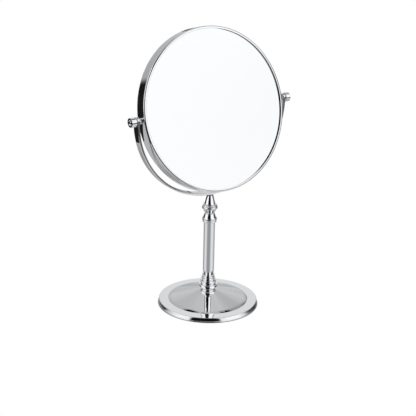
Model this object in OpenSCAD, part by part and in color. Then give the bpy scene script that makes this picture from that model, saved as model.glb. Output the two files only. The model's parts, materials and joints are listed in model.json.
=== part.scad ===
// Two-sided tabletop mirror: a round head that tilts in a half-ring yoke on a weighted pedestal.
// Units are millimetres. The table is z = 0, the column stands on the Z axis and the front is -Y.

/* [Head] */
// Radius of the glass that shows inside the bezel
glass_show_r = 100; // [70:1:130]
// Width of the flat face of the bezel
bezel_face = 3.2; // [2.6:0.1:5]
// Depth of the head from front to back
head_depth = 18.3; // [16:0.1:26]
// Angle that the top of the head leans back
head_tilt = 16.2; // [0:0.1:30]
// Thickness of the glass
glass_t = 2.5; // [2:0.1:4]
// Thickness of the chromed band
band_wall = 1.2; // [0.8:0.1:1.6]
// Thickness of the bezel's flange
bezel_t = 2; // [1.2:0.1:2.4]
// Radius of curvature of the magnifying glass
magnifier_r = 1000; // [900:10:2000]
// Thickness of the foam pads
pad_t = 1; // [0.5:0.1:1.5]

/* [Yoke] */
// Height of the tilt pivot above the table
pivot_h = 263.2; // [220:0.1:320]
// Gap between the head and the yoke
yoke_gap = 5; // [4:0.1:12]
// Thickness of the yoke bar
yoke_t = 3.2; // [2.5:0.1:5]
// Width of the yoke bar
yoke_w = 10.8; // [8:0.1:16]
// Radius of the eye at each end of the yoke
eye_r = 5.8; // [5.7:0.1:10]
// How far the eye's pads stand proud of the bar, inside and outside
eye_proud = 0.25; // [0.15:0.05:0.6]

/* [Pivot] */
// Radius of the pivot stud
stud_r = 2; // [1.5:0.1:2.6]
// Radius of the tightening knob
knob_r = 5.9; // [5:0.1:10]
// Length of the tightening knob
knob_l = 7.4; // [6:0.1:14]
// Radius of the spacer bush
bush_r = 3.6; // [3.2:0.1:5]
// Radius of the friction washer
washer_r = 4.6; // [4:0.1:5.4]
// Thickness of the friction washer
washer_t = 0.8; // [0.5:0.1:1.2]

/* [Column] */
// Radius of the column tube
column_r = 7.35; // [6:0.05:9]
// Wall of the column tube
column_wall = 1; // [0.8:0.1:1.5]
// Height of the lower collar
collar_h = 19.5; // [16:0.5:26]
// Largest radius of the lower collar
collar_r = 12.6; // [11.5:0.1:18]
// Height of the finial from its lower face to the cone's seat
finial_h = 24.6; // [23:0.1:32]
// Largest radius of the finial's bead
bead_r = 10.2; // [9:0.1:14]
// Radius of the bell at the finial's lower end
bell_r = 9.5; // [9.2:0.1:13]
// Height of the cone under the yoke
cone_h = 13.8; // [10:0.1:20]
// Radius of the cone at its foot
cone_foot_r = 7.1; // [6:0.1:8]
// Radius of the cone under the yoke
cone_top_r = 4.1; // [3.9:0.1:5]
// Radius of the tie rod
rod_r = 3; // [2.5:0.1:3.4]

/* [Base] */
// Radius of the base at its lower lip
base_r = 64.7; // [55:0.1:90]
// Height of the base's rim
rim_h = 6.5; // [6:0.1:12]
// Width of the rim outside the raised middle
rim_w = 12.8; // [10:0.1:20]
// Width of the roll at the edge of the raised middle
roll_w = 6; // [3:0.1:8]
// Height of the roll
roll_h = 2.4; // [1.5:0.1:4]
// Height of the seat for the column
base_h = 20.7; // [16:0.1:30]
// Wall of the base shell
shell_t = 1.2; // [0.8:0.1:1.6]
// Thickness of the closing plate
plate_t = 1.2; // [0.8:0.1:2]
// Thickness of the foot pad
foot_t = 1.2; // [0.8:0.1:3]

/* [Hidden] */
$fn = 96;

// fits and clearances
run_fit = 0.05;       // a turning fit, on the radius
slip_fit = 0.2;       // a loose fit of fixed pieces, on the radius
face_gap = 0.1;       // between faces that turn on each other
lip_lift = 0.4;       // shell's edge above the table
cut = 1;              // how far a cut runs past a face

// head, in its own frame: local +Z is the front face's normal
band_r = glass_show_r + bezel_face;
band_in_r = band_r - band_wall;
half_depth = head_depth / 2;
band_half = half_depth - bezel_t;
skirt_t = 1.1;
skirt_l = 3.2;
skirt_in_r = band_in_r - skirt_t;
glass_r = skirt_in_r - slip_fit;
tray_web = 1.2;
tray_ring_w = 7.6;
web_room = 0.5;       // least air between the tray's web and the hollow glass
tray_r = band_in_r - 0.4;
tray_half = band_half - glass_t - pad_t;
web_z = max(tray_half - tray_web, sag(glass_r) - band_half + glass_t + web_room);
nose_r = 0.35;
fall_w = 0.69 * bezel_face;
fall_d = bezel_t - 0.3;
fall_steps = 8;
hollow_steps = 12;
pad_r = glass_r - 1.2;
back_pad_w = 4;

// yoke
yoke_in_r = band_r + yoke_gap;
yoke_r = yoke_in_r + yoke_t;
eye_in_x = yoke_in_r - eye_proud;
eye_out_x = yoke_r + eye_proud;

// pivot, along X
knob_x = eye_out_x + face_gap;
knob_end_x = knob_x + knob_l;
stud_end_x = knob_end_x - 2;
nut_h = 3;
nut_flat = 3.5;
nut_room = 0.1;
nut_x = band_in_r - tray_ring_w - nut_h;
stud_in_x = nut_x - 1.5;
bush_x = band_r + face_gap;
washer_x = eye_in_x - face_gap - washer_t;
spigot_r = 3;
knob_neck_r = knob_r - 2;
knob_neck_l = 1;
knob_chamfer = 0.3;
knob_dish_r = knob_r - 2.2;
knob_dish = 1.4;
knob_point = 0.1;     // how far the dished end's point stays below the rim

// stem
cone_seat = pivot_h - yoke_r - cone_h;
finial_z = cone_seat - finial_h;
socket_deep = 3;
shoulder = 0.4;
collar_top_r = column_r + 0.8;
tube_bottom = base_h + collar_h - socket_deep;
tube_top = finial_z + socket_deep;
rod_top = finial_z + 14;
screw_r = 2;
screw_head_r = 3.7;
screw_head_h = screw_head_r - screw_r;
screw_bite = 7;
yoke_floor = pivot_h - yoke_in_r;

// base
seat_r = collar_r - 4.3;
edge_round = 1;
lip_h = 1;
lip_step = 0.5;
wall_r = base_r - lip_step;
roll_out_r = base_r - rim_w;
roll_in_r = roll_out_r - roll_w;
rim_fall = 0.3;
plate_r = wall_r - shell_t - slip_fit;
plate_z = foot_t;
weight_z = plate_z + plate_t;
weight_gap = 0.4;
weight_rim_top = rim_h - rim_fall - shell_t - weight_gap;
weight_r = plate_r - 1;
well_r = 9;
well_h = 6;
rod_washer_t = 1;
rod_washer_r = 8;
rod_nut_h = 4;
rod_nut_r = 5.6;
rod_end = weight_z + 0.6;

// ---------- helpers ----------

// points on an arc, from one angle to another
function arc(c, r, from, to, steps = 5) =
    [for (i = [0 : steps]) c + r * [cos(from + (to - from) * i / steps),
                                    sin(from + (to - from) * i / steps)]];

// points on a smooth S between two places, level at both ends
function ogee(a, b, steps = 6) =
    [for (i = [0 : steps]) [a[0] + (b[0] - a[0]) * i / steps,
                            a[1] + (b[1] - a[1]) * (1 - cos(180 * i / steps)) / 2]];

// depth of a shallow ball-shaped hollow at a distance from its middle
function sag(r) = magnifier_r - sqrt(pow(magnifier_r, 2) - pow(r, 2));

// height of the magnifying glass's back face, with its edge against the bezel
function hollow_z(r) = sag(glass_r) - sag(r) - band_half;

module tube_solid(r, r_in, h) {
    difference() {
        cylinder(r = r, h = h);
        translate([0, 0, -cut]) cylinder(r = r_in, h = h + 2 * cut);
    }
}

// puts a child that lies along +Z onto the pivot axis, pointing outwards on one side
module on_pivot(side, x = 0) {
    translate([side * x, 0, pivot_h]) rotate([0, side * 90, 0]) children();
}

module both_sides(x = 0) {
    on_pivot(1, x) children();
    on_pivot(-1, x) children();
}

// leans the head back and lifts it to the pivot
module head_place() {
    translate([0, 0, pivot_h]) rotate([90 - head_tilt, 0, 0]) children();
}

// ---------- base ----------

// the roll: leaves the cone at its own slope and gets steeper down to the rim
function roll(steps = 6) =
    let (cone_part = roll_w * (base_h - rim_h - roll_h) / (roll_in_r - seat_r))
    [for (i = [0 : steps]) let (t = i / steps)
        [roll_in_r + roll_w * t,
         rim_h + roll_h - cone_part * t - (roll_h - cone_part) * pow(t, 3)]];

// outline of the shell's outer skin, from the seat out to the lip
function skin() = concat(
    [[seat_r, base_h]],
    roll(),
    arc([wall_r - edge_round, rim_h - rim_fall - edge_round], edge_round, 88, 0),
    [[wall_r, lip_lift + lip_h + 0.3], [base_r, lip_lift + lip_h], [base_r, lip_lift]]);

// outline of the shell's inner skin, from the lip back to the seat
function underskin() = concat(
    [[wall_r - shell_t, lip_lift]],
    [[wall_r - shell_t, rim_h - rim_fall - shell_t - 0.4],
     [wall_r - shell_t - 0.4, rim_h - rim_fall - shell_t]],
    [[roll_out_r - shell_t, rim_h - shell_t],
     [roll_in_r, rim_h + roll_h - shell_t],
     [seat_r, base_h - shell_t]]);

module base_shell() {
    color("silver") rotate_extrude()
        polygon(concat([[rod_r + slip_fit, base_h]], skin(), underskin(),
                       [[rod_r + slip_fit, base_h - shell_t]]));
}

module base_weight() {
    under_seat = base_h - shell_t - weight_gap;
    under_roll = rim_h + roll_h - shell_t - weight_gap;
    color("dimgray") rotate_extrude()
        polygon([[rod_r + slip_fit, weight_z + well_h], [well_r, weight_z + well_h],
                 [well_r, weight_z], [weight_r, weight_z], [weight_r, weight_rim_top],
                 [roll_out_r - 1, weight_rim_top], [roll_in_r - 1, under_roll],
                 [seat_r, under_seat], [rod_r + slip_fit, under_seat]]);
}

module base_plate() {
    color("gray") translate([0, 0, plate_z]) tube_solid(plate_r, well_r, plate_t);
}

module foot_pad() {
    color("black") cylinder(r = plate_r - 2, h = foot_t);
}

// ---------- column ----------

module tie_rod() {
    color("gray") translate([0, 0, rod_end]) cylinder(r = rod_r, h = rod_top - rod_end);
}

module rod_washer() {
    color("gray") translate([0, 0, weight_z + well_h - rod_washer_t])
        tube_solid(rod_washer_r, rod_r + slip_fit, rod_washer_t);
}

module rod_nut() {
    nut_z = weight_z + well_h - rod_washer_t - rod_nut_h;
    color("gray") translate([0, 0, nut_z]) difference() {
        cylinder(r = rod_nut_r, h = rod_nut_h, $fn = 6);
        translate([0, 0, -cut]) cylinder(r = rod_r, h = rod_nut_h + 2 * cut);
    }
}

// one bead of the collar: swells out from its foot, then turns in over a small shoulder
function bead(r, tuck, from, to, steps = 6) = concat(
    [for (i = [0 : steps])
        [r - tuck * (1 - sin(90 * i / steps)),
         from + (to - from - shoulder) * (1 - cos(90 * i / steps))]],
    [[r - 0.3 * shoulder, to - 0.3 * shoulder], [r - shoulder, to]]);

// four beads, each smaller than the one below
module lower_collar() {
    wide = collar_r - collar_top_r;
    radii = [for (share = [1, 0.49, 0.16, 0]) collar_top_r + share * wide];
    at = [for (share = [0.354, 0.62, 0.831, 1]) base_h + share * collar_h];
    foot_r = seat_r - 0.2;
    foot_step = 0.6;
    tuck = 0.2;
    color("silver") rotate_extrude()
        polygon(concat(
            [[rod_r + slip_fit, base_h], [foot_r, base_h]],
            bead(radii[0], radii[0] - foot_r, base_h + foot_step, at[0]),
            bead(radii[1], tuck * (at[1] - at[0]), at[0], at[1]),
            bead(radii[2], tuck * (at[2] - at[1]), at[1], at[2]),
            bead(radii[3], tuck * (at[3] - at[2]), at[2], at[3], 4),
            [[column_r, at[3]], [column_r, tube_bottom],
             [rod_r + slip_fit, tube_bottom]]));
}

module column_tube() {
    color("silver") translate([0, 0, tube_bottom])
        tube_solid(column_r, column_r - column_wall, tube_top - tube_bottom);
}

// bell, neck and bead, turned in one piece
module neck_finial() {
    z0 = finial_z;
    neck_r = bell_r - 3.6;
    bead_mid = cone_seat - 4.6;
    step_r = cone_foot_r + 1.7;
    color("silver") difference() {
        rotate_extrude()
            polygon(concat(
                [[0, z0], [bell_r - 0.6, z0]],
                [[bell_r - 0.1, z0 + 1.8], [bell_r, z0 + 3.6]],
                ogee([bell_r, z0 + 4.8], [neck_r, z0 + 12], 7),
                arc([bead_r - 2.6, bead_mid], 2.6, -65, 65, 8),
                [[step_r - 0.5, cone_seat - 1.5], [step_r, cone_seat - 1.1],
                 [step_r, cone_seat - 0.3], [step_r - 0.3, cone_seat], [0, cone_seat]]));
        translate([0, 0, z0 - cut]) cylinder(r = column_r, h = socket_deep + cut);
        translate([0, 0, z0]) cylinder(r = rod_r, h = rod_top - z0 + 0.6);
        translate([0, 0, cone_seat - screw_bite])
            cylinder(r = screw_r, h = screw_bite + cut);
    }
}

module yoke_cone() {
    color("silver") difference() {
        translate([0, 0, cone_seat]) rotate_extrude()
            polygon([[screw_r + slip_fit, 0], [cone_foot_r, 0], [cone_foot_r, 0.5],
                     [cone_top_r, cone_h - 1.5], [cone_top_r, cone_h + 0.4],
                     [screw_r + slip_fit, cone_h + 0.4]]);
        translate([0, 0, pivot_h]) rotate([90, 0, 0])
            cylinder(r = yoke_r, h = 4 * cone_foot_r, center = true);
    }
}

// ---------- yoke ----------

module yoke() {
    color("silver") difference() {
        union() {
            translate([0, 0, pivot_h]) rotate([90, 0, 0])
                rotate_extrude(angle = 180, start = 180)
                    translate([yoke_in_r, -yoke_w / 2]) square([yoke_t, yoke_w]);
            both_sides(eye_in_x) cylinder(r = eye_r, h = eye_out_x - eye_in_x);
        }
        both_sides(eye_in_x - cut)
            cylinder(r = stud_r + run_fit, h = eye_out_x - eye_in_x + 2 * cut);
        translate([0, 0, yoke_floor - yoke_t - cut])
            cylinder(r = screw_r + slip_fit, h = yoke_t + 2 * cut);
        translate([0, 0, yoke_floor - screw_head_h])
            cylinder(r1 = screw_r, r2 = screw_head_r, h = screw_head_h);
        translate([0, 0, yoke_floor]) cylinder(r = screw_head_r, h = cut);
    }
}

module yoke_screw() {
    shank = yoke_floor - screw_head_h - (cone_seat - screw_bite) - 0.5;
    color("gray") {
        translate([0, 0, yoke_floor - screw_head_h - shank])
            cylinder(r = screw_r, h = shank);
        translate([0, 0, yoke_floor - screw_head_h])
            cylinder(r1 = screw_r, r2 = screw_head_r, h = screw_head_h);
    }
}

// ---------- head ----------

module rim_band() {
    color("silver") difference() {
        head_place() translate([0, 0, -band_half])
            tube_solid(band_r, band_in_r, 2 * band_half);
        both_sides(band_in_r - 4) cylinder(r = spigot_r, h = 8);
    }
}

// flange with a small nose, a quarter-ellipse fall to the band, and a skirt pressed into it
module bezel() {
    rotate_extrude()
        polygon(concat(
            [[glass_show_r, band_half]],
            arc([glass_show_r + nose_r, half_depth - nose_r], nose_r, 180, 90, 3),
            [for (i = [0 : fall_steps])
                [band_r - fall_w * (1 - sin(90 * i / fall_steps)),
                 half_depth - fall_d * (1 - cos(90 * i / fall_steps))]],
            [[band_r, band_half], [band_in_r, band_half],
             [band_in_r, band_half - skirt_l], [skirt_in_r, band_half - skirt_l],
             [skirt_in_r, band_half]]));
}

module front_bezel() {
    color("silver") head_place() bezel();
}

module back_bezel() {
    color("silver") head_place() mirror([0, 0, 1]) bezel();
}

module front_mirror() {
    color("aliceblue") head_place() translate([0, 0, band_half - glass_t])
        cylinder(r = glass_r, h = glass_t);
}

// glass of even thickness, hollow towards the back
module back_mirror() {
    rings = [for (i = [0 : hollow_steps]) glass_r * i / hollow_steps];
    color("aliceblue") head_place() rotate_extrude()
        polygon(concat([for (r = rings) [r, hollow_z(r)]],
                       [for (i = [hollow_steps : -1 : 0])
                           [rings[i], hollow_z(rings[i]) + glass_t]]));
}

// moulded tray that holds both glasses apart and carries the studs
module core_tray() {
    color("dimgray") difference() {
        head_place() {
            translate([0, 0, -tray_half])
                tube_solid(tray_r, band_in_r - tray_ring_w, 2 * tray_half);
            translate([0, 0, web_z])
                cylinder(r = band_in_r - tray_ring_w + cut, h = tray_half - web_z);
        }
        both_sides(nut_x) cylinder(r = stud_r, h = tray_ring_w + nut_h + 4);
        both_sides(stud_in_x - cut)
            cylinder(r = nut_flat + nut_room, h = nut_x + nut_h - stud_in_x + cut);
        both_sides(band_in_r - 2) cylinder(r = spigot_r + slip_fit, h = 4);
    }
}

module front_pad() {
    color("white") head_place() translate([0, 0, tray_half]) cylinder(r = pad_r, h = pad_t);
}

module back_pad() {
    pad_in_r = pad_r - back_pad_w;
    pad_z = hollow_z(pad_in_r) + glass_t;
    color("white") head_place() translate([0, 0, pad_z])
        tube_solid(pad_r, pad_in_r, -tray_half - pad_z);
}

// ---------- pivot hardware ----------

module pivot_studs() {
    color("gray") both_sides(stud_in_x) cylinder(r = stud_r, h = stud_end_x - stud_in_x);
}

module stud_nuts() {
    color("gray") both_sides(nut_x) difference() {
        cylinder(r = nut_flat, h = nut_h, $fn = 6);
        translate([0, 0, -cut]) cylinder(r = stud_r, h = nut_h + 2 * cut);
    }
}

module spacer_bushes() {
    color("silver") both_sides(band_in_r) difference() {
        union() {
            cylinder(r = spigot_r, h = bush_x - band_in_r + 0.5);
            translate([0, 0, bush_x - band_in_r])
                cylinder(r = bush_r, h = washer_x - bush_x);
        }
        translate([0, 0, -cut]) cylinder(r = stud_r, h = yoke_gap + band_wall + 2 * cut);
    }
}

module friction_washers() {
    color("white") both_sides(washer_x) tube_solid(washer_r, stud_r, washer_t);
}

// smooth thumb knob with a dished end that rises to a point, and a blind bore for the stud
module knob() {
    difference() {
        rotate_extrude()
            polygon([[0, 0], [knob_neck_r, 0], [knob_neck_r, knob_neck_l],
                     [knob_r - knob_chamfer, knob_neck_l],
                     [knob_r, knob_neck_l + knob_chamfer], [knob_r, knob_l - knob_chamfer],
                     [knob_r - knob_chamfer, knob_l], [knob_dish_r, knob_l],
                     [knob_dish_r - 0.2, knob_l - knob_dish], [0, knob_l - knob_point]]);
        translate([0, 0, -cut])
            cylinder(r = stud_r + run_fit, h = stud_end_x - knob_x + run_fit + cut);
    }
}

module knob_left() {
    color("silver") on_pivot(-1, knob_x) knob();
}

module knob_right() {
    color("silver") on_pivot(1, knob_x) knob();
}

base_shell();
base_weight();
base_plate();
foot_pad();
tie_rod();
rod_nut();
rod_washer();
lower_collar();
column_tube();
neck_finial();
yoke_cone();
yoke();
yoke_screw();
rim_band();
front_bezel();
back_bezel();
front_mirror();
back_mirror();
core_tray();
front_pad();
back_pad();
pivot_studs();
stud_nuts();
spacer_bushes();
friction_washers();
knob_left();
knob_right();
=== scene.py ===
"""Countertop mirror: a chromed two-sided head that tilts in a half-ring yoke on a turned
column with a weighted round base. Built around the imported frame, in metres."""
import json
import math

import bpy
import numpy as np
from mathutils import Matrix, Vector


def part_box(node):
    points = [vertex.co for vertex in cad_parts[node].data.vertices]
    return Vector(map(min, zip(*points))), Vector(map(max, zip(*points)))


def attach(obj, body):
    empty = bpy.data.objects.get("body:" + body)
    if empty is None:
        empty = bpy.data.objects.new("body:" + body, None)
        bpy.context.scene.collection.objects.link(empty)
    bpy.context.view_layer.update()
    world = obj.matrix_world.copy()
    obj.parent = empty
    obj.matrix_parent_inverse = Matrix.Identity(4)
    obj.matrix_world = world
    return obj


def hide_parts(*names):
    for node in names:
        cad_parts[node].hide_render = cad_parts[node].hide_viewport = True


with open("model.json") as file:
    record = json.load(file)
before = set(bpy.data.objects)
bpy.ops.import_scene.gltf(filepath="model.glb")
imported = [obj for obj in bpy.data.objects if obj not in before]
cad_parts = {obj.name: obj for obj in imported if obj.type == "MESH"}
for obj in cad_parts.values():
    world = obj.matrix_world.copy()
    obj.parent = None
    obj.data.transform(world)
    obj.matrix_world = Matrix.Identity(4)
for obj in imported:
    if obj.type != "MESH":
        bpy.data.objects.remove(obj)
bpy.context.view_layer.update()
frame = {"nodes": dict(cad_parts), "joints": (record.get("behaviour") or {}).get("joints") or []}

MM = 0.001

# ---------------------------------------------------------------- sizes from the frame


def low(node):
    """Lowest corner of a CAD node, in metres."""
    return np.array(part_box(node)[0])


def high(node):
    """Highest corner of a CAD node, in metres."""
    return np.array(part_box(node)[1])


joint_at = {j["name"]: np.array(j["pos_m"]) for j in frame["joints"]}
PIVOT = joint_at["head_tilt"]
HEAD_TILT = math.radians(16.2)       # how far the head leans back at rest

BASE_R = high("base_shell")[0]
BASE_TOP = high("base_shell")[2]
BASE_EDGE = low("base_shell")[2]
BAND_R = high("rim_band")[0]
COLUMN_R = high("column_tube")[0]
COLLAR_R = high("lower_collar")[0]
COLLAR_TOP = high("lower_collar")[2]
FINIAL_FOOT = low("neck_finial")[2]
FINIAL_TOP = high("neck_finial")[2]
BEAD_R = high("neck_finial")[0]
CONE_FOOT_R = high("yoke_cone")[0]
YOKE_FLOOR = low("yoke")[2]
YOKE_OUT_X = high("yoke")[0]
YOKE_HALF_W = 5.4 * MM
YOKE_THICK = 3.2 * MM
EYE_PROUD = 0.25 * MM
EYE_R = high("yoke")[1]
KNOB_R = high("knob_right")[1]
KNOB_IN_X = low("knob_right")[0]
KNOB_OUT_X = high("knob_right")[0]

# ---------------------------------------------------------------- surfaces

WELD = 1e-7          # points nearer than this are one point
SHARP = math.radians(32)
AROUND_BIG = 256     # faces round the base and the head
AROUND = 128         # faces round the column and the finial
AROUND_SMALL = 64    # faces round the knobs and bushes


def arc(centre, radius, start, end, steps=8):
    """Points on a circle in the profile plane, from one angle to another, in degrees."""
    t = np.radians(np.linspace(start, end, steps + 1))
    return np.stack([centre[0] + radius * np.cos(t), centre[1] + radius * np.sin(t)], 1)


def ogee(a, b, steps=16):
    """A smooth S from a to b: the height follows half a cosine wave, level at both ends."""
    t = np.linspace(0, 1, steps + 1)
    ease = (1 - np.cos(math.pi * t)) / 2
    return np.stack([a[0] + (b[0] - a[0]) * t, a[1] + (b[1] - a[1]) * ease], 1)


def outline(*runs, guard=0.12 * MM):
    """Joins runs of profile points. Each straight gap longer than three guards gets a point
    one guard in from both ends, which keeps smooth shading from bleeding across it."""
    pts = np.concatenate([np.atleast_2d(np.asarray(r, float)) for r in runs])
    keep = np.r_[True, np.linalg.norm(np.diff(pts, axis=0), axis=1) > WELD]
    pts = pts[keep]
    gap = np.diff(pts, axis=0)
    length = np.linalg.norm(gap, axis=1)
    wide = length > 3 * guard
    step = gap * (guard / np.maximum(length, guard))[:, None]
    extra_a = (pts[:-1] + step)[wide]
    extra_b = (pts[1:] - step)[wide]
    order = np.concatenate([np.arange(len(pts)), np.nonzero(wide)[0] + 0.3,
                            np.nonzero(wide)[0] + 0.6])
    return np.concatenate([pts, extra_a, extra_b])[np.argsort(order, kind="stable")]


def grid_piece(name, points, closed_u=False):
    """Turns a grid of points (u, v, xyz) into one closed mesh: it always closes along v,
    neighbouring points make quads, points that coincide are welded, and faces point out."""
    nu, nv = points.shape[:2]
    index = np.arange(nu * nv).reshape(nu, nv)
    if closed_u:
        index = np.concatenate([index, index[:1]], 0)
    index = np.concatenate([index, index[:, :1]], 1)
    quads = np.stack([index[:-1, :-1], index[1:, :-1], index[1:, 1:], index[:-1, 1:]], -1)
    quads = quads.reshape(-1, 4)
    flat = points.reshape(-1, 3)
    key = np.round(flat / WELD).astype(np.int64)
    _, first, back = np.unique(key, axis=0, return_index=True, return_inverse=True)
    flat, quads = flat[first], back.reshape(-1)[quads]
    corner = flat[quads]
    volume = np.einsum("ij,ij->", corner[:, 0], np.cross(corner[:, 1], corner[:, 2]))
    volume += np.einsum("ij,ij->", corner[:, 0], np.cross(corner[:, 2], corner[:, 3]))
    if volume < 0:
        quads = quads[:, ::-1]
    faces = []
    for quad in quads.tolist():
        face = [p for i, p in enumerate(quad) if p != quad[i - 1]]
        if len(set(face)) > 2:
            faces.append(face)
    mesh = bpy.data.meshes.new(name)
    mesh.from_pydata(flat.tolist(), [], faces)
    mesh.validate()
    mesh.polygons.foreach_set("use_smooth", np.ones(len(mesh.polygons), bool))
    mesh.set_sharp_from_angle(angle=SHARP)
    piece = bpy.data.objects.new(name, mesh)
    bpy.context.scene.collection.objects.link(piece)
    return piece


def lathe(profile, around):
    """Turns a closed profile of (radius, height) about +Z: each point goes round a circle."""
    t = np.linspace(0, 2 * math.pi, around, endpoint=False)
    r, z = profile[:, :1], profile[:, 1:]
    return np.stack([r * np.cos(t), r * np.sin(t), z + 0 * t], -1)


def head_place(points):
    """Head frame to row frame: local +Z is the front glass's normal, leaned back by the
    head's tilt and lifted to the pivot."""
    turn = math.pi / 2 - HEAD_TILT
    c, s = math.cos(turn), math.sin(turn)
    x, y, z = points[..., 0], points[..., 1], points[..., 2]
    return np.stack([x, y * c - z * s, y * s + z * c], -1) + PIVOT


def pivot_place(points, side):
    """Lays a turned piece along the pivot: local +Z points outwards at one side."""
    x, y, z = points[..., 0], points[..., 1], points[..., 2]
    return np.stack([side * z, side * y, x], -1) + PIVOT * [0, 1, 1]


def finish_piece(piece, body, slot, material, *nodes):
    """Gives a piece its material and its body, and hides the CAD nodes it stands for. The slot is
    not used.
    """
    piece.data.materials.append(material)
    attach(piece, body)
    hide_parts(*nodes)
    return piece


# ---------------------------------------------------------------- materials


class Nodes:
    """Short names for the few shader nodes that the finishes are made of."""

    def __init__(self, tree):
        self.tree = tree

    def add(self, kind, **settings):
        """A node of one kind, with its settings."""
        node = self.tree.nodes.new(kind)
        for name, value in settings.items():
            setattr(node, name, value)
        return node

    def link(self, out, into):
        self.tree.links.new(out, into)

    def math(self, operation, a, b=None):
        """One arithmetic step. a and b are numbers or sockets."""
        node = self.tree.nodes.new("ShaderNodeMath")
        node.operation = operation
        for i, value in enumerate([a, b]):
            if value is None:
                continue
            if isinstance(value, (int, float)):
                node.inputs[i].default_value = value
            else:
                self.link(value, node.inputs[i])
        return node.outputs[0]

    def smooth(self, value, start, end, to_start=0.0, to_end=1.0):
        """Smooth step of a value between two edges."""
        node = self.tree.nodes.new("ShaderNodeMapRange")
        node.interpolation_type = "SMOOTHSTEP"
        self.link(value, node.inputs["Value"])
        for name, number in [("From Min", start), ("From Max", end),
                             ("To Min", to_start), ("To Max", to_end)]:
            node.inputs[name].default_value = number
        return node.outputs["Result"]


def new_material(name):
    """An empty material with its shader: returns the material, its nodes and the shader."""
    material = bpy.data.materials.new(name)
    material.use_nodes = True
    nodes = Nodes(material.node_tree)
    shader = material.node_tree.nodes["Principled BSDF"]
    return material, nodes, shader


def noise(nodes, scale, detail=3.0, stretch=(1, 1, 1)):
    """Noise on the object's own coordinates, in cycles per metre."""
    where = nodes.add("ShaderNodeTexCoord")
    mapping = nodes.add("ShaderNodeMapping")
    mapping.inputs["Scale"].default_value = stretch
    nodes.link(where.outputs["Object"], mapping.inputs["Vector"])
    texture = nodes.add("ShaderNodeTexNoise")
    texture.inputs["Scale"].default_value = scale
    texture.inputs["Detail"].default_value = detail
    nodes.link(mapping.outputs["Vector"], texture.inputs["Vector"])
    return texture.outputs["Fac"]


def chrome(name, tint=(0.955, 0.96, 0.97), rough=(0.0, 0.01), swell=0.002):
    """Polished chrome plate: a faint polishing haze in colour and roughness, and a slow
    swell left in the surface by buffing."""
    haze_scale = 160
    haze_dark = 0.975
    swell_scale = 55
    swell_height = 0.5 * MM
    material, nodes, shader = new_material(name)
    shader.inputs["Metallic"].default_value = 1.0
    haze = noise(nodes, haze_scale, 4)
    colour = nodes.add("ShaderNodeMix", data_type="RGBA")
    nodes.link(haze, colour.inputs["Factor"])
    colour.inputs["A"].default_value = (*[c * haze_dark for c in tint], 1)
    colour.inputs["B"].default_value = (*tint, 1)
    nodes.link(colour.outputs["Result"], shader.inputs["Base Color"])
    nodes.link(nodes.smooth(haze, 0.3, 0.75, rough[0], rough[1]), shader.inputs["Roughness"])
    bump = nodes.add("ShaderNodeBump")
    bump.inputs["Strength"].default_value = swell
    bump.inputs["Distance"].default_value = swell_height
    nodes.link(noise(nodes, swell_scale, 2), bump.inputs["Height"])
    nodes.link(bump.outputs["Normal"], shader.inputs["Normal"])
    return material


def silvered_glass(name, tint):
    """Mirror glass: silver under clear glass, with a trace of wiping haze."""
    haze_scale = 14
    haze_dark = 0.992
    haze_rough = 0.02
    clear_coat = 0.35
    material, nodes, shader = new_material(name)
    shader.inputs["Metallic"].default_value = 1.0
    haze = noise(nodes, haze_scale, 5, (1, 1, 2.2))
    colour = nodes.add("ShaderNodeMix", data_type="RGBA")
    nodes.link(haze, colour.inputs["Factor"])
    colour.inputs["A"].default_value = (*[c * haze_dark for c in tint], 1)
    colour.inputs["B"].default_value = (*tint, 1)
    nodes.link(colour.outputs["Result"], shader.inputs["Base Color"])
    nodes.link(nodes.smooth(haze, 0.35, 0.8, 0.0, haze_rough), shader.inputs["Roughness"])
    shader.inputs["Coat Weight"].default_value = clear_coat
    shader.inputs["Coat Roughness"].default_value = 0.0
    return material


def plain_stuff(name, light, dark, rough, grain, bump_depth, metallic=0.0):
    """A plain finish with a grain: colour, roughness and height follow one noise."""
    material, nodes, shader = new_material(name)
    shader.inputs["Metallic"].default_value = metallic
    speckle = noise(nodes, grain, 6)
    colour = nodes.add("ShaderNodeMix", data_type="RGBA")
    nodes.link(speckle, colour.inputs["Factor"])
    colour.inputs["A"].default_value = (*dark, 1)
    colour.inputs["B"].default_value = (*light, 1)
    nodes.link(colour.outputs["Result"], shader.inputs["Base Color"])
    nodes.link(nodes.smooth(speckle, 0.2, 0.8, rough[0], rough[1]),
               shader.inputs["Roughness"])
    bump = nodes.add("ShaderNodeBump")
    bump.inputs["Strength"].default_value = 0.5
    bump.inputs["Distance"].default_value = bump_depth
    nodes.link(speckle, bump.inputs["Height"])
    nodes.link(bump.outputs["Normal"], shader.inputs["Normal"])
    return material


CHROME = chrome("chrome_plate")
GLASS_FRONT = silvered_glass("front_silvered_glass", (0.97, 0.975, 0.98))
GLASS_BACK = silvered_glass("back_silvered_glass", (0.96, 0.97, 0.975))
ZINC = plain_stuff("zinc_plate", (0.72, 0.73, 0.75), (0.55, 0.56, 0.58), (0.25, 0.4),
                   700, 0.00002, 1.0)
IRON = plain_stuff("cast_iron", (0.12, 0.12, 0.13), (0.05, 0.05, 0.055), (0.6, 0.85),
                   500, 0.0003)
RUBBER = plain_stuff("black_rubber", (0.035, 0.035, 0.036), (0.02, 0.02, 0.02),
                     (0.55, 0.8), 1400, 0.0001)
TRAY = plain_stuff("moulded_tray", (0.12, 0.12, 0.125), (0.09, 0.09, 0.095),
                   (0.4, 0.6), 900, 0.00005)
FOAM = plain_stuff("foam_sheet", (0.85, 0.85, 0.82), (0.7, 0.7, 0.67), (0.8, 0.95),
                   1200, 0.0003)
NYLON = plain_stuff("nylon", (0.86, 0.86, 0.83), (0.8, 0.8, 0.77), (0.3, 0.45), 800,
                    0.00003)

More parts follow.
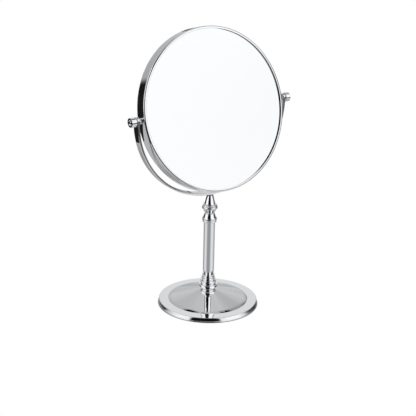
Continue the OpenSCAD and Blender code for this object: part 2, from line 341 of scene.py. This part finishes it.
CAD_FINISH = {
    "base_weight": IRON, "base_plate": ZINC, "foot_pad": RUBBER, "tie_rod": ZINC,
    "rod_nut": ZINC, "rod_washer": ZINC, "yoke_screw": ZINC, "core_tray": TRAY,
    "front_pad": FOAM, "back_pad": FOAM, "pivot_studs": ZINC, "stud_nuts": ZINC,
    "friction_washers": NYLON,
}

# ---------------------------------------------------------------- base and column


def make_base_shell():
    """Spun shell: cone from the column's seat, a roll that gets steeper with the cube of the
    distance, a rim that falls slightly outwards, a rounded edge and a thin lip."""
    wall = BASE_R - 0.5 * MM
    rim = 6.5 * MM
    fall = 0.3 * MM
    edge = 1.0 * MM
    skin = 1.2 * MM
    seat = COLLAR_R - 4.3 * MM
    roll_w = 6 * MM
    roll_h = 2.4 * MM
    roll_out = BASE_R - 12.8 * MM
    roll_in = roll_out - roll_w
    hole = 3.2 * MM
    lip_top = BASE_EDGE + 1.0 * MM
    lip_round = 0.25 * MM
    lip_lift = 0.1 * MM
    wall_foot = lip_top + 0.35 * MM
    under_cut = 0.2 * MM
    inner_cut = 0.3 * MM
    cone_part = roll_w * (BASE_TOP - rim - roll_h) / (roll_in - seat)
    t = np.linspace(0, 1, 25)
    roll = np.stack([roll_in + roll_w * t,
                     rim + roll_h - cone_part * t - (roll_h - cone_part) * t**3], 1)
    profile = outline(
        [[hole, BASE_TOP], [seat, BASE_TOP]],
        roll,
        arc([wall - edge, rim - fall - edge], edge, 88, 0, 12),
        [[wall, wall_foot]],
        arc([BASE_R - lip_round, lip_top - lip_round + lip_lift], lip_round, 80, 0, 5),
        [[BASE_R, BASE_EDGE + under_cut], [BASE_R - under_cut, BASE_EDGE],
         [wall - skin, BASE_EDGE], [wall - skin, rim - fall - skin - inner_cut],
         [wall - skin - inner_cut, rim - fall - skin], [roll_out - skin, rim - skin],
         [roll_in, rim + roll_h - skin], [seat, BASE_TOP - skin], [hole, BASE_TOP - skin]])
    piece = grid_piece("base_shell_chrome", lathe(profile, AROUND_BIG), closed_u=True)
    return finish_piece(piece, "stand", "chrome", CHROME, "base_shell")


def bead(radius, tuck, start, end, steps=14):
    """One bead of the collar: a quarter ellipse out from its foot, an upright side and a
    small quarter-circle shoulder turning in at the top."""
    shoulder = 0.4 * MM
    t = np.radians(np.linspace(0, 90, steps + 1))
    swell = np.stack([radius - tuck * (1 - np.sin(t)),
                      start + (end - start - shoulder) * (1 - np.cos(t))], 1)
    return np.concatenate([swell, arc([radius - shoulder, end - shoulder], shoulder, 15, 90, 5)])


def make_lower_collar():
    """Turned collar: four beads, each smaller than the one below, the lowest a bowl that
    draws in to the base."""
    foot = BASE_TOP
    tall = COLLAR_TOP - foot
    foot_r = COLLAR_R - 4.5 * MM
    top_r = COLUMN_R + 0.8 * MM
    radii = [top_r + share * (COLLAR_R - top_r) for share in (1, 0.49, 0.16, 0)]
    at = [foot + share * tall for share in (0.354, 0.62, 0.831, 1)]
    bore = 3.2 * MM
    socket = COLLAR_TOP - 3 * MM
    tuck = 0.2
    foot_step = 0.6 * MM
    profile = outline(
        [[bore, foot], [foot_r, foot]],
        bead(radii[0], radii[0] - foot_r, foot + foot_step, at[0], 24),
        bead(radii[1], tuck * (at[1] - at[0]), at[0], at[1]),
        bead(radii[2], tuck * (at[2] - at[1]), at[1], at[2]),
        bead(radii[3], tuck * (at[3] - at[2]), at[2], at[3]),
        [[COLUMN_R, COLLAR_TOP], [COLUMN_R, socket], [bore, socket]], guard=0.06 * MM)
    piece = grid_piece("lower_collar_chrome", lathe(profile, AROUND), closed_u=True)
    return finish_piece(piece, "stand", "chrome", CHROME, "lower_collar")


def make_column_tube():
    """Plain tube from inside the collar to inside the finial's socket."""
    bottom = low("column_tube")[2]
    top = high("column_tube")[2]
    bore = COLUMN_R - 1 * MM
    profile = outline([[COLUMN_R, bottom], [COLUMN_R, top], [bore, top], [bore, bottom]])
    piece = grid_piece("column_tube_chrome", lathe(profile, AROUND), closed_u=True)
    return finish_piece(piece, "stand", "chrome", CHROME, "column_tube")


def make_neck_finial():
    """Bell, neck and bead turned in one piece, with a thin step under the cone."""
    foot = FINIAL_FOOT
    socket = COLUMN_R
    socket_top = foot + 3 * MM
    bell = 9.5 * MM
    lip = 1.2 * MM
    lip_in = 1.4 * MM
    crown = 3.6 * MM
    crown_at = foot + 4.2 * MM
    shoulder = [bell - 0.35 * MM, foot + 5.6 * MM]
    neck = [5.9 * MM, foot + 12 * MM]
    bead_round = 2.6 * MM
    bead_mid = FINIAL_TOP - 4.6 * MM
    step = CONE_FOOT_R + 1.7 * MM
    step_round = 0.55 * MM
    step_at = FINIAL_TOP - 0.75 * MM
    notch = [step - 0.6 * MM, FINIAL_TOP - 1.6 * MM]
    crest = FINIAL_TOP - 0.15 * MM
    profile = outline(
        [[socket, socket_top], [socket, foot]],
        arc([bell - lip_in, foot + lip], lip, -75, -20, 6),
        arc([bell - crown, crown_at], crown, -22, 14, 10),
        ogee(shoulder, neck, 20),
        arc([BEAD_R - bead_round, bead_mid], bead_round, -65, 65, 20),
        [notch],
        arc([step - step_round, step_at], step_round, -60, 90, 10),
        [[0, crest], [0, socket_top]])
    piece = grid_piece("neck_finial_chrome", lathe(profile, AROUND), closed_u=True)
    return finish_piece(piece, "stand", "chrome", CHROME, "neck_finial")


def make_yoke_cone():
    """Small cone between the finial and the yoke, hollowed slightly like a trumpet."""
    foot = FINIAL_TOP
    sink = 0.05 * MM
    top = YOKE_FLOOR + sink
    top_r = 4.1 * MM
    plain = 0.6 * MM
    trumpet = 1.15
    t = np.linspace(0, 1, 20)
    flare_r = top_r + (CONE_FOOT_R - top_r) * (1 - t) ** trumpet
    flare = np.stack([flare_r, foot + plain + t * (top - 2 * plain - foot)], 1)
    profile = outline([[0, foot], [CONE_FOOT_R, foot]], flare,
                      [[top_r, top + sink], [0, top + sink]])
    piece = grid_piece("yoke_cone_chrome", lathe(profile, AROUND), closed_u=True)
    return finish_piece(piece, "stand", "chrome", CHROME, "yoke_cone")


# ---------------------------------------------------------------- yoke


def make_yoke():
    """Half-ring bar: a rounded rectangle carried down one side, round under the head and up
    the other. The half width follows a circle past each pivot, which makes the round eye."""
    eye_steps = 18
    bend_steps = 192
    corner_steps = 6
    bar_r = PIVOT[2] - YOKE_FLOOR
    mid_r = bar_r - YOKE_THICK / 2
    eye = EYE_R * np.cos(np.radians(np.linspace(0, 90, eye_steps + 1)))[:-1]
    eye_foot = np.degrees(math.asin(EYE_R / mid_r))
    bend = np.sort(np.concatenate([np.linspace(180, 360, bend_steps + 1), [180 + eye_foot] * 2,
                                   [360 - eye_foot] * 2]))
    left = np.stack([np.full(len(eye), -mid_r), eye], 1)
    ring = np.stack([np.cos(np.radians(bend)), np.sin(np.radians(bend))], 1)
    path = np.concatenate([left, mid_r * ring, left[::-1] * [-1, 1]])
    outward = np.concatenate([np.tile([-1.0, 0.0], (len(eye), 1)), ring,
                              np.tile([1.0, 0.0], (len(eye), 1))])
    height = path[:, 1]
    half_w = np.where(height > 0, np.sqrt(np.maximum(EYE_R**2 - height**2, 0)), EYE_R)
    half_w = np.minimum(half_w, YOKE_HALF_W)
    first, last = np.searchsorted(bend, [180 + eye_foot, 360 - eye_foot], side="left")
    boss = np.ones(len(path))
    boss[len(eye) + first + 1:len(eye) + last + 1] = 0
    half_t = (YOKE_THICK / 2 + EYE_PROUD * boss)[:, None]
    half_w = half_w[:, None]
    corner = 1.0 * MM
    guard = 0.1 * MM
    round_by = np.minimum(corner, half_w)
    turn = np.radians(np.concatenate([[a, *np.linspace(a, a + 90, corner_steps + 1), a + 90]
                                      for a in (0, 90, 180, 270)]))
    slide = np.tile([-guard, *[0] * (corner_steps + 1), guard], 4)
    side_w = np.repeat([1, -1, -1, 1], corner_steps + 3)
    side_t = np.repeat([1, 1, -1, -1], corner_steps + 3)
    room = np.clip((half_w - round_by) / (2 * guard), 0, 1)
    across = side_w * (half_w - round_by) + round_by * np.cos(turn) - room * slide * np.sin(turn)
    through = side_t * (half_t - round_by) + round_by * np.sin(turn) + slide * np.cos(turn)
    x = path[:, :1] + outward[:, :1] * through
    z = path[:, 1:] + outward[:, 1:] * through
    points = np.stack([x, across, z + PIVOT[2]], -1)
    piece = grid_piece("yoke_chrome", points)
    return finish_piece(piece, "stand", "chrome", CHROME, "yoke")


# ---------------------------------------------------------------- head

HALF_DEPTH = 9.15 * MM
FLANGE = 2 * MM
BAND_HALF = HALF_DEPTH - FLANGE
BAND_WALL = 1.2 * MM
BEZEL_FACE = 3.2 * MM
SHOW_R = BAND_R - BEZEL_FACE
GLASS_AIR = 1.3 * MM
GLASS_R = BAND_R - BAND_WALL - GLASS_AIR
GLASS_T = 2.5 * MM


def make_rim_band():
    """Rolled band: a plain hoop with softened edges."""
    inner = BAND_R - BAND_WALL
    soft = 0.25 * MM
    profile = outline(
        [[inner, -BAND_HALF]],
        arc([BAND_R - soft, -BAND_HALF + soft], soft, -90, 0, 5),
        arc([BAND_R - soft, BAND_HALF - soft], soft, 0, 90, 5),
        [[inner, BAND_HALF]])
    piece = grid_piece("rim_band_chrome", head_place(lathe(profile, AROUND_BIG)), closed_u=True)
    return finish_piece(piece, "head", "chrome", CHROME, "rim_band")


def bezel_points(side):
    """Bezel: a flange with a small round nose over the glass, a quarter-ellipse fall to the
    band and a skirt inside it."""
    nose = 0.35 * MM
    fall_w = 2.2 * MM
    fall_d = FLANGE - 0.3 * MM
    soft = 0.25 * MM
    inner = BAND_R - BAND_WALL
    skirt = inner - 1.1 * MM
    skirt_end = BAND_HALF - 3.2 * MM
    profile = outline(
        arc([SHOW_R + nose, HALF_DEPTH - nose], nose, 180, 90, 10),
        [BAND_R - fall_w, HALF_DEPTH - fall_d] + arc([0, 0], 1, 90, 0, 16) * [fall_w, fall_d],
        arc([BAND_R - soft, BAND_HALF + soft], soft, 0, -90, 5),
        [[inner, BAND_HALF], [inner, skirt_end],
         [skirt, skirt_end], [skirt, BAND_HALF], [SHOW_R, BAND_HALF]])
    profile[:, 1] *= side
    return head_place(lathe(profile, AROUND_BIG))


def make_bezels():
    """The same bezel on both faces."""
    front = grid_piece("front_bezel_chrome", bezel_points(1), closed_u=True)
    finish_piece(front, "head", "chrome", CHROME, "front_bezel")
    back = grid_piece("back_bezel_chrome", bezel_points(-1), closed_u=True)
    finish_piece(back, "head", "chrome", CHROME, "back_bezel")


def make_front_glass():
    """Flat disc of mirror glass behind the bezel."""
    profile = outline([[0, BAND_HALF], [GLASS_R, BAND_HALF], [GLASS_R, BAND_HALF - GLASS_T],
                       [0, BAND_HALF - GLASS_T]])
    piece = grid_piece("front_mirror_glass", head_place(lathe(profile, AROUND_BIG)), closed_u=True)
    return finish_piece(piece, "head", "mirror_glass", GLASS_FRONT, "front_mirror")


def make_back_glass():
    """Magnifying glass: both faces follow a ball of one metre radius, hollow to the back."""
    ball = 1000 * MM
    r = np.linspace(0, GLASS_R, 33)
    rise = np.sqrt(ball**2 - r**2) - math.sqrt(ball**2 - GLASS_R**2)
    hollow = np.stack([r, rise - BAND_HALF], 1)
    front = hollow[::-1] + [0, GLASS_T]
    profile = outline(hollow, front)
    piece = grid_piece("back_mirror_glass", head_place(lathe(profile, AROUND_BIG)), closed_u=True)
    return finish_piece(piece, "head", "mirror_glass", GLASS_BACK, "back_mirror")


# ---------------------------------------------------------------- pivot hardware


def knob_profile():
    """Thumb knob: narrow neck, smooth drum with softened edges, and a flat end ring round a
    recessed cone."""
    length = KNOB_OUT_X - KNOB_IN_X
    neck = KNOB_R - 2 * MM
    soft = 0.3 * MM
    groove = 1.0 * MM
    ring_in = 3.7 * MM
    recess_r = 3.5 * MM
    recess = 1.4 * MM
    point_in = 0.1 * MM
    return outline(
        [[0, 0], [neck, 0], [neck, groove]],
        arc([KNOB_R - soft, groove + soft], soft, -90, 0, 6),
        arc([KNOB_R - soft, length - soft], soft, 0, 90, 8),
        [[ring_in, length]],
        [[recess_r, length - recess], [0, length - point_in]], guard=0.08 * MM)


def make_knobs():
    """One knob at each end of the pivot."""
    for side, name in [(-1, "knob_left"), (1, "knob_right")]:
        points = lathe(knob_profile() + [0, KNOB_IN_X], AROUND_SMALL)
        piece = grid_piece(name + "_chrome", pivot_place(points, side), closed_u=True)
        finish_piece(piece, name, "chrome", CHROME, name)


def make_bushes():
    """Spacer bush between the band and the yoke, one piece on each side."""
    start = BAND_R - BAND_WALL
    face = BAND_R + 0.1 * MM
    end = YOKE_OUT_X - YOKE_THICK - 2 * EYE_PROUD - 0.9 * MM
    bore = 2 * MM
    spigot = 3 * MM
    drum = 3.6 * MM
    soft = 0.3 * MM
    profile = outline(
        [[bore, start], [spigot, start], [spigot, face]],
        arc([drum - soft, face + soft], soft, -90, 0, 5),
        arc([drum - soft, end - soft], soft, 0, 90, 5), [[bore, end]])
    for side, name in [(-1, "spacer_bush_left"), (1, "spacer_bush_right")]:
        piece = grid_piece(name, pivot_place(lathe(profile, AROUND_SMALL), side), closed_u=True)
        finish_piece(piece, "head", "chrome", CHROME, "spacer_bushes")


# ---------------------------------------------------------------- camera and studio

CAM_AZ = math.radians(-34.7)
CAM_EL = math.radians(20.4)
CAM_ROLL = math.radians(1.29)
CAM_AIM = np.array([-2.8, 0.0, 132.4]) * MM
CAM_FAR = 1625 * MM
CAM_ANGLE = math.radians(18.6315)
CAM_NEAR = 10 * MM


def make_camera():
    """Camera set by bearing, height and roll, aimed at a point on the column."""
    back = np.array([math.sin(CAM_AZ) * math.cos(CAM_EL),
                     -math.cos(CAM_AZ) * math.cos(CAM_EL), math.sin(CAM_EL)])
    right = np.cross(-back, [0, 0, 1])
    right /= np.linalg.norm(right)
    up = np.cross(right, -back)
    c, s = math.cos(CAM_ROLL), math.sin(CAM_ROLL)
    tilted_right = c * right + s * up
    tilted_up = c * up - s * right
    data = bpy.data.cameras.new("camera")
    data.angle = CAM_ANGLE
    data.clip_start = CAM_NEAR
    camera = bpy.data.objects.new("camera", data)
    bpy.context.scene.collection.objects.link(camera)
    place = CAM_AIM + back * CAM_FAR
    matrix = np.eye(4)
    matrix[:3, 0], matrix[:3, 1], matrix[:3, 2], matrix[:3, 3] = (
        tilted_right, tilted_up, back, place)
    camera.matrix_world = Matrix(matrix.tolist())
    bpy.context.scene.camera = camera


CAM_SIDE = (math.sin(CAM_AZ), -math.cos(CAM_AZ))      # level direction to the camera
CAM_RIGHT = (math.cos(CAM_AZ), math.sin(CAM_AZ))      # level direction to its right
TABLE_SPAN = ((-0.43, 0.80), (-3.0, 0.37))            # across, and towards the camera
TENT_STEPS = [(0.17, 0.36), (0.50, 0.62), (0.80, 0.86), (0.92, 0.96)]   # up, as a sine
HORIZON = 0.02                # half the height over which the room becomes the tent
ROOM_SPAN = (-0.2, 0.3)       # across, from its left level to its right one
NEAR_END = (0.106, 0.118)     # from the middle, where the near ring becomes the far one
# painted shadow on the table: width and darkness of the dark line round the base
CONTACT_SHADOW_WIDTH = 1.6 * MM
CONTACT_SHADOW_LEVEL = 0.2
CORNER_ACROSS = (0.33, 0.41)
CORNER_TOWARDS = (0.17, 0.22)

# brightness round the studio: degrees to the right of the camera, level
LOW_RING = [(-180, 0.60), (-168, 0.52), (-156, 0.45), (-140, 0.41), (-129, 0.40), (-126, 0.01),
            (-103, 0.01), (-98, 0.45), (-88, 0.95), (-75, 1.06), (-50, 1.06), (-38, 0.90),
            (-34, 0.005), (18, 0.005), (24, 0.85), (30, 1.04), (60, 1.04), (76, 0.98),
            (88, 0.60), (93, 0.01), (128, 0.01), (134, 0.12), (150, 0.16), (158, 0.20),
            (165, 0.50), (172, 0.60), (180, 0.60)]
MID_RING = [(-180, 0.76), (-165, 0.60), (-150, 0.44), (-110, 0.42), (-98, 0.95), (-40, 0.95),
            (-30, 0.01), (20, 0.01), (28, 1.06), (90, 1.06), (104, 0.50), (122, 0.42),
            (132, 0.20), (140, 0.13), (148, 0.15), (158, 0.50), (168, 0.66), (180, 0.76)]
UPPER_RING = [(-180, 0.67), (-155, 0.47), (-110, 0.42), (-98, 0.95), (-40, 0.95), (-30, 0.01),
              (44, 0.01), (58, 0.60), (78, 0.95), (100, 0.95), (112, 0.40), (150, 0.30),
              (165, 0.60), (180, 0.67)]
HIGH_RING = [(-180, 0.58), (-160, 0.50), (-152, 0.0), (-114, 0.0), (-108, 0.45), (-95, 0.95),
             (-72, 0.95), (-62, 0.0), (25, 0.0), (35, 1.0), (100, 1.0), (112, 0.0),
             (150, 0.0), (160, 0.50), (180, 0.58)]
# the table's glow away from the base: painted light and shade, greyer towards the camera
TABLE_RING = [(-180, 0.50), (-155, 0.43), (-145, 0.37), (-120, 0.30), (-104, 0.48),
              (-88, 0.68), (-68, 0.80), (-50, 0.68), (-40, 0.46), (-28, 0.32), (0, 0.31),
              (16, 0.33), (30, 0.50), (44, 0.76), (60, 0.80), (80, 0.73), (100, 0.49),
              (120, 0.36), (145, 0.46), (180, 0.50)]
# the table's glow close to the base: a painted reflection of the studio, with painted shadow in
# the dark sectors beside and in front of the base
NEAR_RING = [(-180, 0.62), (-120, 0.60), (-100, 0.40), (-88, 0.12), (-65, 0.02), (-58, 0.50),
             (-45, 0.85), (-35, 1.0), (-24, 0.9), (-20, 0.005), (15, 0.005), (18, 0.85),
             (30, 1.0), (42, 1.0), (52, 0.7), (60, 0.10), (76, 0.02), (92, 0.08),
             (108, 0.40), (125, 0.60), (180, 0.62)]
OVERHEAD = 0.33
FAR_CORNER_SHADE = 0.88       # how much of the light the right front corner loses
ROOM_LEFT = 0.012
ROOM_RIGHT = 0.13


def camera_frame(nodes, x, y):
    """Turns x and y into: how far to the camera's right, and how far towards it."""
    across = nodes.math("ADD", nodes.math("MULTIPLY", x, CAM_RIGHT[0]),
                        nodes.math("MULTIPLY", y, CAM_RIGHT[1]))
    towards = nodes.math("ADD", nodes.math("MULTIPLY", x, CAM_SIDE[0]),
                         nodes.math("MULTIPLY", y, CAM_SIDE[1]))
    return across, towards


def ring_level(nodes, across, towards, ring):
    """Brightness by direction: the bearing from the camera's side picks a place on a ramp."""
    bearing = nodes.math("ARCTAN2", across, towards)
    share = nodes.math("ADD", nodes.math("DIVIDE", bearing, 2 * math.pi), 0.5)
    node = nodes.add("ShaderNodeValToRGB")
    ramp = node.color_ramp
    ramp.interpolation = "LINEAR"
    while len(ramp.elements) < len(ring):
        ramp.elements.new(0.5)
    for element, (degrees, level) in zip(ramp.elements, ring):
        element.position = degrees / 360 + 0.5
        element.color = (level, level, level, 1)
    nodes.link(share, node.inputs["Fac"])
    return node.outputs["Color"]


def mixed(nodes, share, a, b):
    """a where share is 0, b where it is 1."""
    node = nodes.add("ShaderNodeMix")
    nodes.link(share, node.inputs["Factor"])
    for name, value in [("A", a), ("B", b)]:
        if isinstance(value, (int, float)):
            node.inputs[name].default_value = value
        else:
            nodes.link(value, node.inputs[name])
    return node.outputs["Result"]


def white_to_camera(nodes, kind, level, paper_level=1.0):
    """Plain white where the camera looks straight at it, times paper_level, which carries the
    table's painted shadow line round the base; and the studio's level in reflections and as light."""
    seen = nodes.add("ShaderNodeLightPath")
    studio = nodes.add(kind)
    studio.inputs["Color"].default_value = (0.985, 0.988, 1.0, 1)
    nodes.link(level, studio.inputs["Strength"])
    paper = nodes.add(kind)
    paper.inputs["Color"].default_value = (1, 1, 1, 1)
    if isinstance(paper_level, float):
        paper.inputs["Strength"].default_value = paper_level
    else:
        nodes.link(paper_level, paper.inputs["Strength"])
    mix = nodes.add("ShaderNodeMixShader")
    nodes.link(seen.outputs["Is Camera Ray"], mix.inputs[0])
    nodes.link(studio.outputs[0], mix.inputs[1])
    nodes.link(paper.outputs[0], mix.inputs[2])
    return mix.outputs[0]


def make_world():
    """Soft white studio: a bright tent with dark gaps at the camera and beside the object,
    softer overhead, and a dark room below the table."""
    world = bpy.data.worlds.new("studio")
    bpy.context.scene.world = world
    world.use_nodes = True
    nodes = Nodes(world.node_tree)
    world.node_tree.nodes.clear()
    where = nodes.add("ShaderNodeTexCoord")
    split = nodes.add("ShaderNodeSeparateXYZ")
    nodes.link(where.outputs["Generated"], split.inputs[0])
    x, y, z = split.outputs
    across, towards = camera_frame(nodes, x, y)
    tent = ring_level(nodes, across, towards, LOW_RING)
    above = [ring_level(nodes, across, towards, ring)
             for ring in (MID_RING, UPPER_RING, HIGH_RING)]
    for (start, end), next_level in zip(TENT_STEPS, [*above, OVERHEAD]):
        tent = mixed(nodes, nodes.smooth(z, start, end), tent, next_level)
    room = nodes.smooth(across, *ROOM_SPAN, ROOM_LEFT, ROOM_RIGHT)
    level = mixed(nodes, nodes.smooth(z, -HORIZON, HORIZON), room, tent)
    out = nodes.add("ShaderNodeOutputWorld")
    nodes.link(white_to_camera(nodes, "ShaderNodeBackground", level), out.inputs["Surface"])


def make_table():
    """White table top, square to the camera, that glows: the camera sees plain white with a
    painted shadow line round the base. In reflections and as light, close to the base it shows a
    painted reflection of the studio's light and dark, with painted shadow in the dark sectors
    beside and in front of the base; further out it is a soft white with painted shade, greyer
    towards the camera and at the right front corner."""
    (left, right), (back, front) = TABLE_SPAN
    corners = [(left, back), (right, back), (right, front), (left, front)]
    points = [[a * CAM_RIGHT[0] + t * CAM_SIDE[0], a * CAM_RIGHT[1] + t * CAM_SIDE[1], 0.0]
              for a, t in corners]
    mesh = bpy.data.meshes.new("table_top")
    mesh.from_pydata(points, [], [[3, 2, 1, 0]])
    table = bpy.data.objects.new("table_top", mesh)
    bpy.context.scene.collection.objects.link(table)
    material = bpy.data.materials.new("white_table")
    material.use_nodes = True
    nodes = Nodes(material.node_tree)
    material.node_tree.nodes.clear()
    where = nodes.add("ShaderNodeTexCoord")
    split = nodes.add("ShaderNodeSeparateXYZ")
    nodes.link(where.outputs["Object"], split.inputs[0])
    x, y = split.outputs[:2]
    across, towards = camera_frame(nodes, x, y)
    out_from_base = nodes.math("SQRT", nodes.math("ADD", nodes.math("MULTIPLY", x, x),
                                                  nodes.math("MULTIPLY", y, y)))
    # painted light and shade of the table, seen in reflections and given off as light
    near_level = ring_level(nodes, across, towards, NEAR_RING)
    far_level = ring_level(nodes, across, towards, TABLE_RING)
    level = mixed(nodes, nodes.smooth(out_from_base, *NEAR_END), near_level, far_level)
    # painted shadow: the table's glow drops in a thin ring just outside the base, seen by the
    # camera and in reflections
    painted_contact_shadow = nodes.smooth(out_from_base, BASE_R, BASE_R + CONTACT_SHADOW_WIDTH, CONTACT_SHADOW_LEVEL, 1.0)
    level = nodes.math("MULTIPLY", level, painted_contact_shadow)
    shade = nodes.math("MULTIPLY", nodes.smooth(across, *CORNER_ACROSS),
                       nodes.smooth(towards, *CORNER_TOWARDS, 0.0, FAR_CORNER_SHADE))
    level = nodes.math("MULTIPLY", level, nodes.math("SUBTRACT", 1.0, shade))
    out = nodes.add("ShaderNodeOutputMaterial")
    nodes.link(white_to_camera(nodes, "ShaderNodeEmission", level, painted_contact_shadow),
               out.inputs["Surface"])
    mesh.materials.append(material)


# ---------------------------------------------------------------- assembly

make_camera()
make_world()
make_table()
make_base_shell()
make_lower_collar()
make_column_tube()
make_neck_finial()
make_yoke_cone()
make_yoke()
make_rim_band()
make_bezels()
make_front_glass()
make_back_glass()
make_knobs()
make_bushes()

for node_name, finish in CAD_FINISH.items():
    mesh = frame["nodes"][node_name].data
    mesh.materials.clear()
    mesh.materials.append(finish)

bpy.context.scene.view_settings.view_transform = "Standard"
